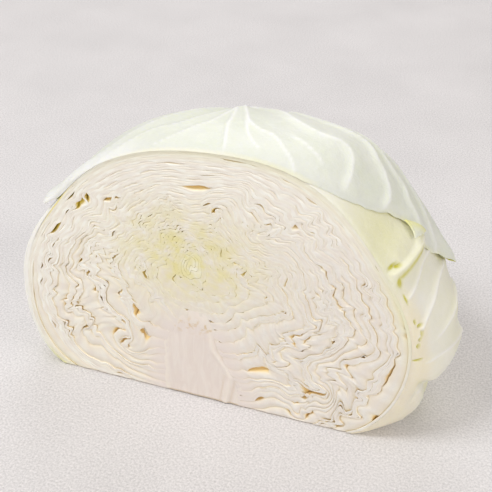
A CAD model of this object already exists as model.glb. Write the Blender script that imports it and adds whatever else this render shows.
import math
import bpy
import bmesh
import numpy as np
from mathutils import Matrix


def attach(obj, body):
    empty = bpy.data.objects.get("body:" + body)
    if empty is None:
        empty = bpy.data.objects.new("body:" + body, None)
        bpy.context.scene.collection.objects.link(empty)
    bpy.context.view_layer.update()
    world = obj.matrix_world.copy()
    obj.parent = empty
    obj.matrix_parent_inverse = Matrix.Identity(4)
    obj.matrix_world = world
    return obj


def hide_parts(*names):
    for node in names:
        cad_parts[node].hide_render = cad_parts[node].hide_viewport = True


# Half of a green cabbage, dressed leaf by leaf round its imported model.
# Shapes are worked out in millimetres, on the part's own axes, and written in metres.
# A place on the head is a turn round the cut face (degrees, 0 right, 90 up), a dive behind
# the face (0 on it, 90 at the back) and a size (0 at the heart, 1 at the outside).
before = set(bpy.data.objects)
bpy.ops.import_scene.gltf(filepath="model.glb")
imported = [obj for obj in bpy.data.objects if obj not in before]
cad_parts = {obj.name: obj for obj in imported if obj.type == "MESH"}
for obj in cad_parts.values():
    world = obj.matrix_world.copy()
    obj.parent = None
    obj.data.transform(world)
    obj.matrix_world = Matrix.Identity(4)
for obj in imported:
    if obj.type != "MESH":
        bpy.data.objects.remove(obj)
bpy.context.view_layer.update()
mm = 0.001

# Camera, floor and light.
view = {
    "place": (130.2, -319.1, 330.8),
    "azimuth": 19.0,
    "elevation": 35.0,
    "lens": 65.85,
    "sensor": 36.0,
}
studio = {
    "floorSize": 6000.0,
    "floorColour": (0.722, 0.702, 0.707),
    "floorLevels": (0.62, 1.28),  # darkest and lightest speck
    "floorSpread": (0.26, 0.86),
    "floorCloud": 0.16,
    "floorRoughness": 0.75,
    "floorShine": 0.2,
    "worldColour": (1.0, 0.94, 0.88),
    "worldStrength": 0.42,
    "lights": [
        # name, place, aimed at, width, height, watts, colour
        ("key", (-480, -380, 1050), (0, 20, 50), 400, 400, 6.7, (0.968, 0.985, 1.0)),
        ("fill", (300, -900, 420), (0, 0, 60), 900, 700, 1.95, (0.985, 0.99, 1.0)),
        ("side", (820, -300, 740), (0, 0, 60), 600, 500, 2.6, (1.0, 0.98, 0.95)),
        ("rim", (-250, 1300, 1100), (0, 500, 0), 1200, 800, 9.0, (0.975, 0.98, 1.0)),
    ],
}


def addObject(name, data):
    thing = bpy.data.objects.new(name, data)
    bpy.context.collection.objects.link(thing)
    return thing


def addCamera(s):
    data = bpy.data.cameras.new("camera")
    data.lens = s["lens"]
    data.sensor_width = s["sensor"]
    camera = addObject("camera", data)
    camera.location = [v * mm for v in s["place"]]
    camera.rotation_euler = (math.radians(90 - s["elevation"]), 0, math.radians(s["azimuth"]))
    bpy.context.scene.camera = camera


def plug(tree, value, socket):
    if hasattr(value, "is_output"):
        tree.links.new(value, socket)
    else:
        socket.default_value = value


def setUp(tree, node, **values):
    # options and inputs by name, with _ for a space
    for name, value in values.items():
        if name in node.bl_rna.properties:
            setattr(node, name, value)
        else:
            plug(tree, value, node.inputs[name.replace("_", " ")])
    return node


def addNode(tree, kind, **values):
    return setUp(tree, tree.nodes.new("ShaderNode" + kind), **values)


def objectPlace(tree):
    return addNode(tree, "TexCoord").outputs["Object"]


def noise(tree, place, scale, detail, **values):
    return addNode(tree, "TexNoise", Vector=place, Scale=scale, Detail=detail, **values).outputs["Fac"]


def remap(tree, value, low, high, start=0.0, end=1.0):
    node = addNode(tree, "MapRange", Value=value, From_Min=low, From_Max=high, To_Min=start, To_Max=end)
    return node.outputs[0]


def multiply(tree, first, second, more=0.0):
    node = addNode(tree, "Math", operation="MULTIPLY_ADD")
    for value, socket in zip((first, second, more), node.inputs):
        plug(tree, value, socket)
    return node.outputs[0]


def mixColour(tree, factor, first, second):
    mix = addNode(tree, "Mix", data_type="RGBA")
    for socket, value in ((0, factor), (6, first), (7, second)):
        plug(tree, value, mix.inputs[socket])
    return mix.outputs[2]


def bumped(tree, height, strength, distance, **values):
    node = addNode(tree, "Bump", Height=height, Strength=strength, Distance=distance, **values)
    return node.outputs["Normal"]


def painted(tree, name):
    # the four channels painted on a mesh
    paint = addNode(tree, "Attribute", attribute_name=name)
    split = addNode(tree, "SeparateColor", Color=paint.outputs["Color"])
    return (*split.outputs, paint.outputs["Alpha"])


def tint(r, g, b):
    linear = [c / 255 / 12.92 if c <= 10.3 else ((c / 255 + 0.055) / 1.055) ** 2.4 for c in (r, g, b)]
    return (*linear, 1)


def layered(tree, colour, s, shares):
    # lays the named colours of s over the first one, in their order
    for name, share in shares.items():
        colour = mixColour(tree, share, colour, tint(*s[name]))
    return colour


def newMaterial(name):
    material = bpy.data.materials.new(name)
    material.use_nodes = True
    tree = material.node_tree
    shader = tree.nodes["Principled BSDF"]
    return material, tree, shader


def paleFloor(s):
    material, tree, shader = newMaterial("paleFloor")
    place = objectPlace(tree)
    speck = noise(tree, place, 900.0, 4.0, Roughness=0.7)
    cloud = noise(tree, place, 14.0, 3.0, Roughness=0.5)
    share = remap(tree, multiply(tree, cloud, s["floorCloud"], speck), *s["floorSpread"])
    dark, light = [(*[c * level for c in s["floorColour"]], 1) for level in s["floorLevels"]]
    setUp(tree, shader, Base_Color=mixColour(tree, share, dark, light), Roughness=s["floorRoughness"],
          Specular_IOR_Level=s["floorShine"])
    return material


def addStudio(s):
    half = s["floorSize"] / 2 * mm
    mesh = bpy.data.meshes.new("floor")
    corners = [(-half, -half, 0), (half, -half, 0), (half, half, 0), (-half, half, 0)]
    mesh.from_pydata(corners, [], [(0, 1, 2, 3)])
    mesh.materials.append(paleFloor(s))
    floor = addObject("floor", mesh)
    world = bpy.data.worlds.new("softRoom")
    bpy.context.scene.world = world
    world.use_nodes = True
    sky = world.node_tree.nodes["Background"]
    sky.inputs["Color"].default_value = (*s["worldColour"], 1)
    sky.inputs["Strength"].default_value = s["worldStrength"]
    for name, place, aim, width, height, watts, colour in s["lights"]:
        data = bpy.data.lights.new(name, "AREA")
        data.shape = "RECTANGLE"
        data.size = width * mm
        data.size_y = height * mm
        data.energy = watts
        data.color = colour
        lamp = addObject(name, data)
        lamp.location = [v * mm for v in place]
        lamp.rotation_euler = direction([(a - p) * mm for a, p in zip(aim, place)])
    bpy.context.scene.view_settings.view_transform = "Standard"


def direction(aimed):
    x, y, z = aimed
    return (math.atan2(math.hypot(x, y), -z), 0, math.atan2(-x, y))


addCamera(view)
addStudio(studio)
print("camera, floor and lights")

# The head's form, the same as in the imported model.
head = {
    "radii": [100, 93.5, 93.5, 87, 86.5, 87, 95.5, 101, 86, 76, 84, 98],  # every 30 degrees
    "depth": 98.0,
    "middle": (2.0, 58.0),
    "heartMove": (-4.0, 24.0),
    "cutFace": -9.0,
    "bands": 13,
    "heartSize": 0.07,
    "topLift": 0.045,
    "rightLift": 0.21,
    "leftLift": 0.05,
    "shoulder": (0.06, 33.0, 22.0),
}


def sine(degrees):
    return np.sin(np.radians(degrees))


def cosine(degrees):
    return np.cos(np.radians(degrees))


def bell(x, width):
    return np.exp(-((x / width) ** 2))


def ease(x, low, high):
    t = np.clip((x - low) / (high - low), 0, 1)
    return t * t * (3 - 2 * t)


def fall(x, low, high):
    return 1 - ease(x, low, high)


def turnGap(a, b):
    return (a - b + 180) % 360 - 180


def nearTurn(turn, middle, span):
    return bell(turnGap(turn, middle), span)


def lobe(turn, height, middle, span):
    return height * nearTurn(turn, middle, span)


def patch(turn, dive, height, middle, span, depth, reach):
    return lobe(turn, height, middle, span) * bell(dive - depth, reach)


def chance(i, salt):
    value = np.sin(i * 12.9898 + salt * 78.233) * 43758.5453
    return value - np.floor(value)


def faceRadius(turn):
    place = (turn % 360) / 30
    first = np.floor(place).astype(int)
    t = place - first
    radii = np.array(head["radii"], float)
    p0, p1, p2, p3 = [radii[(first + k) % 12] for k in (-1, 0, 1, 2)]
    return p1 + 0.5 * t * (p2 - p0 + t * (2 * p0 - 5 * p1 + 4 * p2 - p3 + t * (3 * (p1 - p2) + p3 - p0)))


def domeShare(turn, dive):
    across, up = cosine(turn), sine(turn)
    falling = np.maximum(cosine(dive), 0)
    lift = head["topLift"] * np.clip(up, 0, 1) ** 2 + head["rightLift"] * np.clip(across, 0, 1) ** 2
    lift = lift + head["leftLift"] * np.clip(-across, 0, 1) ** 2 + lobe(turn, *head["shoulder"])
    return falling**0.9 + lift * np.sin(2 * np.radians(dive)) * falling**0.3


def headPoint(turn, dive, size, stand=0.0):
    turn, dive, size, stand = np.broadcast_arrays(turn, dive, size, stand)
    reach = (faceRadius(turn) * size + stand) * domeShare(turn, dive)
    x = head["middle"][0] + head["heartMove"][0] * (1 - size) + reach * cosine(turn)
    y = (head["depth"] * size + stand) * sine(dive)
    z = head["middle"][1] + head["heartMove"][1] * (1 - size) + reach * sine(turn)
    return np.stack([x, y, z], -1)


def diveAt(depth, size):
    return np.degrees(np.arcsin(np.clip(depth / (head["depth"] * size), 0, 0.98)))


# The stem's outline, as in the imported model.
stemSettings = {
    "levels": [  # height, left, right
        (0, -21, 20.8), (15, -20.5, 20.3), (27, -20, 14.5), (38, -19.3, 10), (45, -16, 8), (50, -11.5, 6),
        (55, -7.5, 3.5),
    ],
    "tip": (59.5, -2.0),
    "sink": 1.6,
}


def stemSides(z):
    levels = np.array(stemSettings["levels"], float)
    heights = np.append(levels[:, 0], stemSettings["tip"][0])
    left = np.interp(z, heights, np.append(levels[:, 1], stemSettings["tip"][1]))
    right = np.interp(z, heights, np.append(levels[:, 2], stemSettings["tip"][1]))
    return left, right


def stemClear(points, reach=14):
    # 0 beside the stem, 1 away from it
    left, right = stemSides(points[..., 2])
    aside = np.maximum(points[..., 0] - right, left - points[..., 0])
    above = points[..., 2] - stemSettings["tip"][0]
    return ease(np.maximum(aside, above), 0, reach)


# Folds in the leaves, strongest on the cut face and gone further back.
foldSettings = {
    "large": [  # x, z, reach, twist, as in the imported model
        (24, 118, 9, -92), (38, 100, 8, 64), (-20, 112, 7, 40), (-62, 62, 9, 68), (-48, 92, 8, -48),
        (60, 30, 10, 80), (45, 14, 8, -76), (78, 48, 8, -68), (62, 72, 10, 56), (35, 62, 9, -60),
        (-45, 30, 10, -64), (-70, 36, 8, 56), (-30, 70, 9, 60), (5, 88, 8, -60), (-14, 94, 7, 50),
        (50, 52, 9, 70), (-58, 14, 7, 50),
    ],
    "largeDepth": 14.0,
    "crumpled": [  # x, z, spread in x and z, folds, height, length, reach
        (-66, 62, 24, 42, 34, 1.0, 7.0, 3.6), (-2, 92, 40, 24, 40, 0.8, 6.4, 3.0),
        (52, 92, 34, 32, 30, 1.3, 9.5, 4.6), (86, 66, 12, 34, 14, 1.0, 9.0, 4.2),
        (62, 28, 24, 24, 8, 3.0, 17.0, 9.0), (80, 18, 12, 14, 5, 1.8, 11.0, 6.0),
        (32, 66, 30, 12, 8, 0.8, 11.0, 6.0), (-50, 28, 20, 16, 7, 1.1, 12.0, 6.0),
        (10, 132, 60, 8, 12, 0.3, 16.0, 8.0),
    ],
    "crumpledDepth": 8.0,
    "calmRim": (0.90, 0.985),
    "largeShare": 0.8,
    "mostTwist": 60.0,
}


def placeFolds(s):
    # each wave fold: middle, reach, the way it pushes, height, length, phase, depth
    golden = math.pi * (3 - math.sqrt(5))
    waves = []
    for area, (midX, midZ, spreadX, spreadZ, count, height, length, reach) in enumerate(s["crumpled"]):
        for i in range(count):
            share = math.sqrt((i + 0.5) / count)
            x = midX + spreadX * share * math.cos(i * golden + area)
            z = midZ + spreadZ * share * math.sin(i * golden + area)
            push = math.atan2(z - 70, x) + 0.7 * (chance(i, area + 3) - 0.5)
            tall = height * (0.3 + 1.3 * chance(i, area + 5))
            long = length * (0.7 + 0.8 * chance(i, area + 7))
            waves.append((x, z, reach, push, tall, long, 6.28 * chance(i, area + 9), s["crumpledDepth"]))
    twists = []
    for x, z, reach, twist in sorted(s["large"], key=lambda fold: fold[2]):
        twists.append((x, z, reach, s["largeShare"] * twist, s["largeDepth"]))
    return waves, twists


waves, twists = placeFolds(foldSettings)


def pushWave(x, y, z, calm, wave):
    midX, midZ, reach, push, height, length, phase, depth = wave
    near = np.nonzero((x - midX) ** 2 + (z - midZ) ** 2 < (3.3 * reach) ** 2)
    dx, dz = x[near] - midX, z[near] - midZ
    along = dz * math.cos(push) - dx * math.sin(push)
    size = height * np.sin(2 * math.pi * along / length + phase)
    size = size * bell(y[near], depth) * calm[near] * np.exp(-(dx * dx + dz * dz) / (2 * reach * reach))
    x[near] += size * math.cos(push)
    z[near] += size * math.sin(push)


def twistRound(x, y, z, calm, fold):
    midX, midZ, reach, twist, depth = fold
    near = np.nonzero((x - midX) ** 2 + (z - midZ) ** 2 < (3.6 * reach) ** 2)
    dx, dz = x[near] - midX, z[near] - midZ
    angle = math.radians(twist) * bell(y[near], depth) * np.exp(-(dx * dx + dz * dz) / (2 * reach * reach))
    c, s = np.cos(angle * calm[near]), np.sin(angle * calm[near])
    x[near] = midX + dx * c - dz * s
    z[near] = midZ + dx * s + dz * c


def rimCalm(x, z):
    # 1 inside the head, 0 at its rim
    dx, dz = x - head["middle"][0], z - head["middle"][1]
    share = np.hypot(dx, dz) / faceRadius(np.degrees(np.arctan2(dz, dx)))
    return 1 - ease(share, *foldSettings["calmRim"])


def crumple(points):
    x, y, z = points[..., 0].copy(), points[..., 1], points[..., 2].copy()
    calm = rimCalm(x, z)
    still = calm * stemClear(points, 13)
    for wave in waves:
        pushWave(x, y, z, still, wave)
    for fold in twists:
        twistRound(x, y, z, calm, fold)
    return np.stack([x, y, z], -1)


def stitch(a, b, ring):
    if len(a) < len(b):
        return stitch(b, a, ring)[:, ::-1]
    if ring:
        a = np.append(a, a[0])
        b = np.append(b, b[0]) if len(b) > 1 else b
    if len(b) == 1:
        return np.column_stack([a[:-1], np.full(len(a) - 1, b[0]), a[1:]])
    if len(a) == len(b):
        halves = (a[:-1], b[:-1], b[1:]), (a[:-1], b[1:], a[1:])
        return np.vstack([np.column_stack(half) for half in halves])
    a0, a1, a2, b0, b1 = a[:-1:2], a[1::2], a[2::2], b[:-1], b[1:]
    return np.vstack([np.column_stack(t) for t in ((a0, b0, a1), (a1, b0, b1), (a1, b1, a2))])


# Joins rows of points into one closed skin. A ring closes each row on itself, a loop joins the last
# row to the first, and open ends get a cap.
def rowsBody(rows, ring=False, loop=False):
    starts = np.cumsum([0] + [len(row) for row in rows])
    index = [np.arange(start, start + len(row)) for start, row in zip(starts, rows)]
    triangles = [stitch(a, b, ring) for a, b in zip(index[:-1], index[1:])]
    if loop:
        triangles.append(stitch(index[-1], index[0], ring))
    if not ring:
        for column, way in ((0, 1), (-1, -1)):
            for r in range((len(rows) - 1) // 2):
                a, d = index[r][column], index[r + 1][column]
                b, c = index[-1 - r][column], index[-2 - r][column]
                cap = [(a, b, c)] if c == d else [(a, b, c), (a, c, d)]
                triangles.append(np.array(cap)[:, ::way])
    return np.vstack(rows), np.vstack(triangles)


def makePiece(name, points, triangles, masks, material, nodes, trim=True, tone=None):
    mesh = bpy.data.meshes.new(name)
    mesh.vertices.add(len(points))
    placed = (points + np.array([0, head["cutFace"], 0])) * mm
    mesh.vertices.foreach_set("co", placed.astype(np.float32).ravel())
    count = len(triangles)
    mesh.loops.add(count * 3)
    mesh.loops.foreach_set("vertex_index", triangles.astype(np.int32).ravel())
    mesh.polygons.add(count)
    mesh.polygons.foreach_set("loop_start", np.arange(0, count * 3, 3, dtype=np.int32))
    mesh.update(calc_edges=True)
    mesh.validate()
    for layerName, values in (("masks", masks), ("tone", tone)):
        if values is not None:
            layer = mesh.attributes.new(layerName, "FLOAT_COLOR", "POINT")
            layer.data.foreach_set("color", values.astype(np.float32).ravel())
    if trim and points[:, 2].min() < 0:
        trimFlat(mesh)
    mesh.polygons.foreach_set("use_smooth", np.ones(len(mesh.polygons), bool))
    mesh.set_sharp_from_angle(angle=math.radians(50))
    mesh.materials.append(material)
    piece = addObject(name, mesh)
    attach(piece, "root")
    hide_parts(*nodes)


# the front edge of the base, a little off the table
footEdge = {"lift": 0.9, "height": 5.0, "depth": 2.5}


def footLift(y, z, s):
    return s["lift"] * fall(y, 0, s["depth"]) * fall(z, 0, s["height"])


def trimFlat(mesh):
    work = bmesh.new()
    work.from_mesh(mesh)
    everything = work.verts[:] + work.edges[:] + work.faces[:]
    bmesh.ops.bisect_plane(work, geom=everything, dist=1e-7, plane_co=(0, 0, 0), plane_no=(0, 0, 1),
                           clear_inner=True)
    rim = [edge for edge in work.edges if edge.is_boundary]
    bmesh.ops.triangle_fill(work, edges=rim, normal=(0, 0, -1), use_beauty=False)
    for vert in work.verts:
        if vert.co.z < footEdge["height"] * mm:
            vert.co.z += footLift(vert.co.y / mm - head["cutFace"], vert.co.z / mm, footEdge) * mm
    work.to_mesh(mesh)
    work.free()


# How the leaves share the cut face.
leafSettings = {
    "perBand": 3,
    "columnStep": 0.85,
    "roundShare": 0.23,
    "roundMost": 0.95,
    "tightGap": 0.16,
    "ribTurns": (-24.0, 203.0),
    "ribWidths": (34.0, 20.0),
    "slitDepth": 1.1,
    "gapDepth": 2.3,
    "bendGap": 0.8,
    "innerSeam": 0.45,
    "openWider": 1.35,
    "bends": (0.16, 0.55),
    "fullDepth": 70,  # mm behind the face where a leaf is as deep as its steps say
    "deepStart": 20,
    "openDepth": 60.0,
    "bigLeaf": (2.4, 4.0),  # mm thick
    "domedLeaf": (0.3, 1.6),
    "deepWays": (0.25, 0.5, 0.75),
    "wallSteps": ((1.7, 1), (3.8, 1), (7, 2), (12, 4), (20, 8)),  # depth, columns skipped
    "cutProfile": (  # share of the thickness, how far the cut rounds over, seam it rounds to
        (0.0, 1.0, 0), (0.13, 0.42, 0), (0.5, 0.0, 0), (0.87, 0.42, 1), (1.0, 1.0, 1),
    ),
}
# openings between leaves: x, z on the face, half length, width, slope
openings = [
    (1, 126.5, 7.5, 3.4, 8), (-60.5, 107, 4.5, 2.8, 50), (-55.2, 110.5, 3.0, 2.4, 65),
    (-62.8, 110, 4.0, 0.8, 55), (-43.5, 111.7, 2.8, 1.9, 40), (-38.8, 113.5, 1.4, 1.2, 0),
    (-42, 108, 3.5, 0.6, 20), (-65.7, 100.5, 2.4, 0.6, 57), (-74, 89.5, 6.0, 2.0, 55),
    (-29, 102.5, 3.2, 0.5, 60), (-22.6, 107.5, 1.8, 0.6, 42), (-8.8, 103.8, 1.1, 0.8, 60),
    (-6.6, 102, 1.0, 0.7, 50), (-10.5, 98, 1.0, 0.5, 40), (-43.5, 93.5, 2.8, 0.9, 78),
    (-57.5, 88.3, 1.0, 0.9, 60), (-61.3, 85.5, 2.2, 0.8, 60), (-43.8, 80, 3.2, 0.8, 48),
    (-28.3, 72.8, 3.2, 1.2, 82), (-13, 75, 3.0, 0.4, 65), (-63.8, 73, 2.6, 2.4, 45),
    (-67.8, 69.5, 1.2, 0.7, 50), (-58.5, 66, 2.0, 2.1, 60), (-59.5, 60.3, 1.8, 1.6, 60),
    (-56.5, 56.5, 2.3, 0.8, 35), (-65.3, 55.5, 1.6, 0.8, 65), (-54.3, 51, 2.0, 1.0, 75),
    (-49, 53.6, 2.6, 1.1, 50), (-43, 58.8, 4.5, 0.9, 42), (-34.6, 48.8, 4.3, 2.3, 58),
    (-25, 52.5, 4.0, 0.4, 15), (-41, 40, 1.8, 1.7, 25), (-47.6, 32.3, 4.6, 1.6, 42),
    (-64.5, 29.4, 2.2, 2.0, 12), (-32.5, 30.8, 5.8, 2.8, 36), (-43, 27.3, 7.0, 0.9, 32),
    (-83, 27, 2.8, 0.9, 108), (-86, 54, 3.0, 0.6, 65), (-84.6, 64.5, 2.4, 0.8, 62),
    (-80, 69.5, 2.6, 0.9, 58), (-76.2, 79, 2.0, 0.7, 60), (-73, 82.3, 1.4, 0.6, 50),
    (-70, 67.3, 2.4, 0.7, 50), (-73.8, 42.5, 2.0, 0.6, 72), (-78, 37, 1.6, 0.6, 60),
    (-27.8, 14.6, 1.5, 0.8, 118), (-47, 1.5, 3.0, 1.2, 5), (18, 143.6, 6.5, 0.9, 8),
    (26.5, 142.6, 2.6, 0.4, 6), (6, 133.3, 4.5, 0.5, 15), (8, 136.2, 5.0, 0.3, 10), (-10, 137, 5.5, 0.5, 5),
    (5.6, 118.7, 3.0, 1.0, 33), (8.8, 115.3, 1.6, 1.3, 40), (30, 123.3, 3.0, 0.9, -2),
    (28, 117.9, 4.5, 0.5, -28), (34, 115.4, 2.6, 0.5, 8), (45.5, 115.4, 2.0, 1.5, 0),
    (53.7, 115.2, 1.2, 0.9, 0), (41, 137.7, 2.4, 0.6, -15), (52.7, 130.7, 3.6, 0.9, -15),
    (74, 126, 5.0, 0.5, -46), (78.6, 115.8, 1.6, 0.6, -75), (84.6, 104, 3.2, 1.3, -48),
    (59.5, 97, 7.0, 0.9, -36), (77.6, 92.8, 2.4, 0.6, 52), (57.6, 82.5, 1.7, 1.4, -50),
    (57, 76.3, 2.6, 0.5, -60), (66.5, 78, 1.5, 1.3, -78), (21, 85.6, 3.4, 1.2, 35),
    (11, 94.6, 2.7, 0.5, 55), (15.6, 92, 1.4, 0.6, 15), (16, 86.6, 1.2, 0.6, 0),
    (16.8, 103.3, 2.2, 0.5, -50), (1.8, 99.8, 1.8, 0.5, 15), (41, 84.5, 4.0, 0.7, 76),
    (14.4, 56.4, 2.6, 0.5, 50), (17, 61.4, 2.0, 0.4, 45), (21, 62.6, 1.9, 0.5, 45),
    (47, 54.8, 8.0, 0.5, 28), (58.7, 57.6, 2.2, 1.6, 52), (53, 54, 2.8, 0.8, 62), (52, 46.6, 1.9, 1.6, 70),
    (44.5, 49.5, 1.5, 0.7, 0), (47.5, 42.6, 2.4, 0.8, 38), (66, 56.2, 1.4, 1.2, 40),
    (64.6, 59.8, 1.4, 1.0, 20), (64, 52, 1.2, 0.9, 0), (73, 43.5, 1.6, 1.1, 42), (80.5, 50, 1.6, 1.5, 10),
    (59, 20.4, 5.6, 4.0, 6), (53, 16.5, 2.4, 1.6, -36), (48, 25.4, 2.0, 1.8, 70), (30.5, 26, 7.5, 2.7, 28),
    (42, 35, 4.5, 0.5, 38), (32, 6.8, 4.2, 2.3, 40), (46, 5, 3.0, 1.1, -70), (57.8, 4.8, 4.8, 1.9, 64),
    (63.8, 1.8, 1.8, 1.2, 75), (72.5, 3, 2.6, 2.4, 60), (69, 5, 4.4, 0.7, 68), (77, 11.5, 3.6, 0.7, 46),
    (79, 8, 2.8, 1.9, 30), (88.3, 24.5, 1.9, 1.6, 62), (85, 16.5, 5.5, 0.6, 62), (88.5, 14.6, 3.0, 1.5, 46),
    (77.3, 29.5, 1.9, 1.1, 45), (76.5, 21, 1.5, 0.9, 60), (92.6, 45, 10.0, 0.9, 72),
    (98.6, 68.5, 2.2, 1.3, 78), (98.4, 74, 1.6, 0.9, 75), (97, 63, 1.5, 1.0, 60), (97.4, 80, 1.6, 0.8, 62),
    (96.5, 56, 1.8, 1.0, 20),
]
turnGrid = np.arange(-180, 180, 0.1)
coarse = slice(0, None, 5)
leafTotal = head["bands"] * leafSettings["perBand"]


def bandWeights(turn):
    weights = []
    for band in range(head["bands"]):
        rib = -15 if band % 2 == 0 else 197
        weights.append((1 + lobe(turn, 2, rib, 34)) * (1.3 - 0.6 * band / head["bands"]))
    weights = np.array(weights)
    return weights / weights.sum(0)


def leafSpan(leaf):
    wander = 40 * (chance(leaf, 11) - 0.5) * 2
    if leaf % 2 == 0:
        return -112.0, 205.0 + wander
    return -25.0 + wander, 292.0


def leafShares(turn):
    # in each band one leaf is far thicker than the rest near its rib
    bands = bandWeights(turn)
    shares = []
    for leaf in range(leafTotal):
        start, end = leafSpan(leaf)
        fades = (20, 34) if leaf % 2 == 0 else (34, 20)
        spread = (turn - start) % 360
        cover = ease(spread, 0, fades[0]) * fall(spread, end - start - fades[1], end - start)
        band = leaf // leafSettings["perBand"]
        main = leaf % leafSettings["perBand"] == int(3 * chance(band, 12))
        rib = leafSettings["ribTurns"][band % 2] + 20 * (chance(leaf, 12) - 0.5)
        thick = 1 + (5 if main else 0.3) * nearTurn(turn, rib, leafSettings["ribWidths"][band % 2])
        shares.append(cover * thick * (0.8 + 0.4 * chance(leaf, 14)) + 1e-4)
    shares = np.array(shares).reshape(head["bands"], leafSettings["perBand"], -1)
    shares = shares / shares.sum(1, keepdims=True) * bands[:, None, :]
    return shares.reshape(leafTotal, -1)


def stackLayers(shares, gaps, radius):
    room = (1 - head["heartSize"]) * radius
    free = np.maximum(room - gaps.sum(0), room * 0.5)
    leaves = shares * free
    gaps = gaps * (room - free) / np.maximum(gaps.sum(0), 1e-6)
    layers = np.empty((2 * leafTotal + 1, len(radius)))
    layers[0] = 0
    layers[1::2] = leaves
    layers[2::2] = gaps
    return head["heartSize"] + np.cumsum(layers, 0) / radius


def leafWave(leaf, turn, salt, length):
    wave = 0
    for i in range(4):
        turns = 360 / (length * (0.6 + 0.35 * i))
        wave = wave + np.sin(np.radians(turn) * turns + 6.28 * chance(leaf, salt + i))
    return 0.5 + wave / 8


def seamWave(seam, turn):
    # how plainly the seam outside a leaf shows along its way
    if seam in (-1, leafTotal - 1):
        return 0 * turn
    between = (seam + 1) % leafSettings["perBand"] == 0
    plain = 1 if between else leafSettings["innerSeam"]
    if seam > leafTotal - 6:
        plain = plain * (1 - lobe(turn, 0.7, 85, 60))
    return ease(leafWave(seam, turn, 50, 15), 0.42, 0.64) * plain


def alignOpenings(spots, calm):
    # a twist at each opening turns the leaves there to its slope
    most = foldSettings["mostTwist"]
    for x, z, half, _, slope in openings:
        far = np.hypot(spots[..., 0] - x, spots[..., 2] - z)
        leaf, column = np.unravel_index(np.argmin(far), far.shape)
        after = spots[leaf, (column + 1) % far.shape[1]] - spots[leaf, column - 1]
        turn = slope - math.degrees(math.atan2(after[2], after[0]))
        turn = min(max((turn + 90) % 180 - 90, -most), most)
        fold = (x, z, max(1.15 * half, 2.2), turn, foldSettings["crumpledDepth"])
        twistRound(spots[..., 0], spots[..., 1], spots[..., 2], calm, fold)
        twists.append(fold)


def layerTable():
    shares = leafShares(turnGrid)
    radius = faceRadius(turnGrid)
    tight = np.full((leafTotal, len(turnGrid)), 1e-4)
    closed = stackLayers(shares, tight, radius)
    plain = headPoint(turnGrid[coarse][None, :], 0.0, closed[2::2, coarse])
    spots = crumple(plain)
    alignOpenings(spots, rimCalm(plain[..., 0], plain[..., 2]))
    steps = np.diff(np.concatenate([spots[:, -1:], spots], 1), axis=1)
    heading = np.arctan2(steps[..., 2], steps[..., 0])
    bend = np.abs((np.roll(heading, -1, 1) - heading + math.pi) % (2 * math.pi) - math.pi)
    bend = bend / np.maximum(np.hypot(steps[..., 0], steps[..., 2]), 0.05)
    bend = (np.roll(bend, 1, 1) + bend + np.roll(bend, -1, 1)) / 3
    clear = stemClear(spots) * ease(spots[..., 2], 0, 3)
    wide = tight.copy()
    for leaf in range(leafTotal - 1):
        apart = ease(leafWave(leaf, turnGrid, 33, 9), 0.5, 0.9)
        slit = leafSettings["tightGap"] * seamWave(leaf, turnGrid) * apart
        folded = ease(bend[leaf], *leafSettings["bends"]) * leafWave(leaf, turnGrid[coarse], 60, 25) ** 2
        folded = np.interp(turnGrid, turnGrid[coarse], folded * clear[leaf])
        slit = slit * np.interp(turnGrid, turnGrid[coarse], clear[leaf])
        wide[leaf] += slit + leafSettings["bendGap"] * folded
    slits = wide.copy()
    for x, z, half, width, _ in openings:
        far = np.hypot(spots[..., 0] - x, spots[..., 2] - z)
        leaf, column = np.unravel_index(np.argmin(far[:-1]), far[:-1].shape)
        ring = np.interp(turnGrid, turnGrid[coarse], far[leaf])
        beside = np.abs(turnGap(turnGrid, turnGrid[coarse][column])) < 40
        bulge = np.maximum(1 - (ring / half) ** 2, 0) ** 1.2
        wide[leaf] += beside * width * leafSettings["openWider"] * bulge
    return closed, stackLayers(shares, slits, radius), stackLayers(shares, wide, radius)


def layerSize(row, turn, depth):
    # slits between leaves close soon behind the face, openings go deeper
    closed = np.interp(turn, turnGrid, closedLayers[row], period=360)
    slit = np.interp(turn, turnGrid, slitLayers[row], period=360)
    opened = np.interp(turn, turnGrid, openLayers[row], period=360)
    size = closed + (slit - closed) * bell(depth, leafSettings["slitDepth"])
    return size + (opened - slit) * bell(depth, leafSettings["gapDepth"])


closedLayers, slitLayers, openLayers = layerTable()
print("layers of", leafTotal, "leaves,", len(waves) + len(twists), "folds")


def insideStem(points, sink):
    left, right = stemSides(points[..., 2] + sink)
    x, z = points[..., 0], points[..., 2]
    return (x > left + sink) & (x < right - sink) & (z < stemSettings["tip"][0] - sink) & (z > -30)


# Leaves of the head.
def leafTurns(leaf):
    start, end = leafSpan(leaf)
    turns = np.arange(start, end, 0.1)
    middle = (layerSize(2 * leaf, turns, 0) + layerSize(2 * leaf + 1, turns, 0)) / 2
    path = crumple(headPoint(turns, 0.0, middle))
    blocked = insideStem(path, stemSettings["sink"])
    low = np.abs(turnGap(turns, -90)) < 75
    hits = np.nonzero(blocked & low)[0]
    if len(hits):
        keep = slice(hits[-1], None) if leaf % 2 == 0 else slice(0, hits[0] + 1)
        turns, path = turns[keep], path[keep]
    step = np.hypot(*np.diff(path[:, [0, 2]], axis=0).T)
    below = path[1:, 2] < -4
    step = np.where(below, step / 5, step)
    way = np.concatenate([[0], np.cumsum(step)])
    count = max(int(way[-1] / leafSettings["columnStep"] / 8), 4) * 8 + 1
    return np.interp(np.linspace(0, way[-1], count), way, turns)


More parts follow.
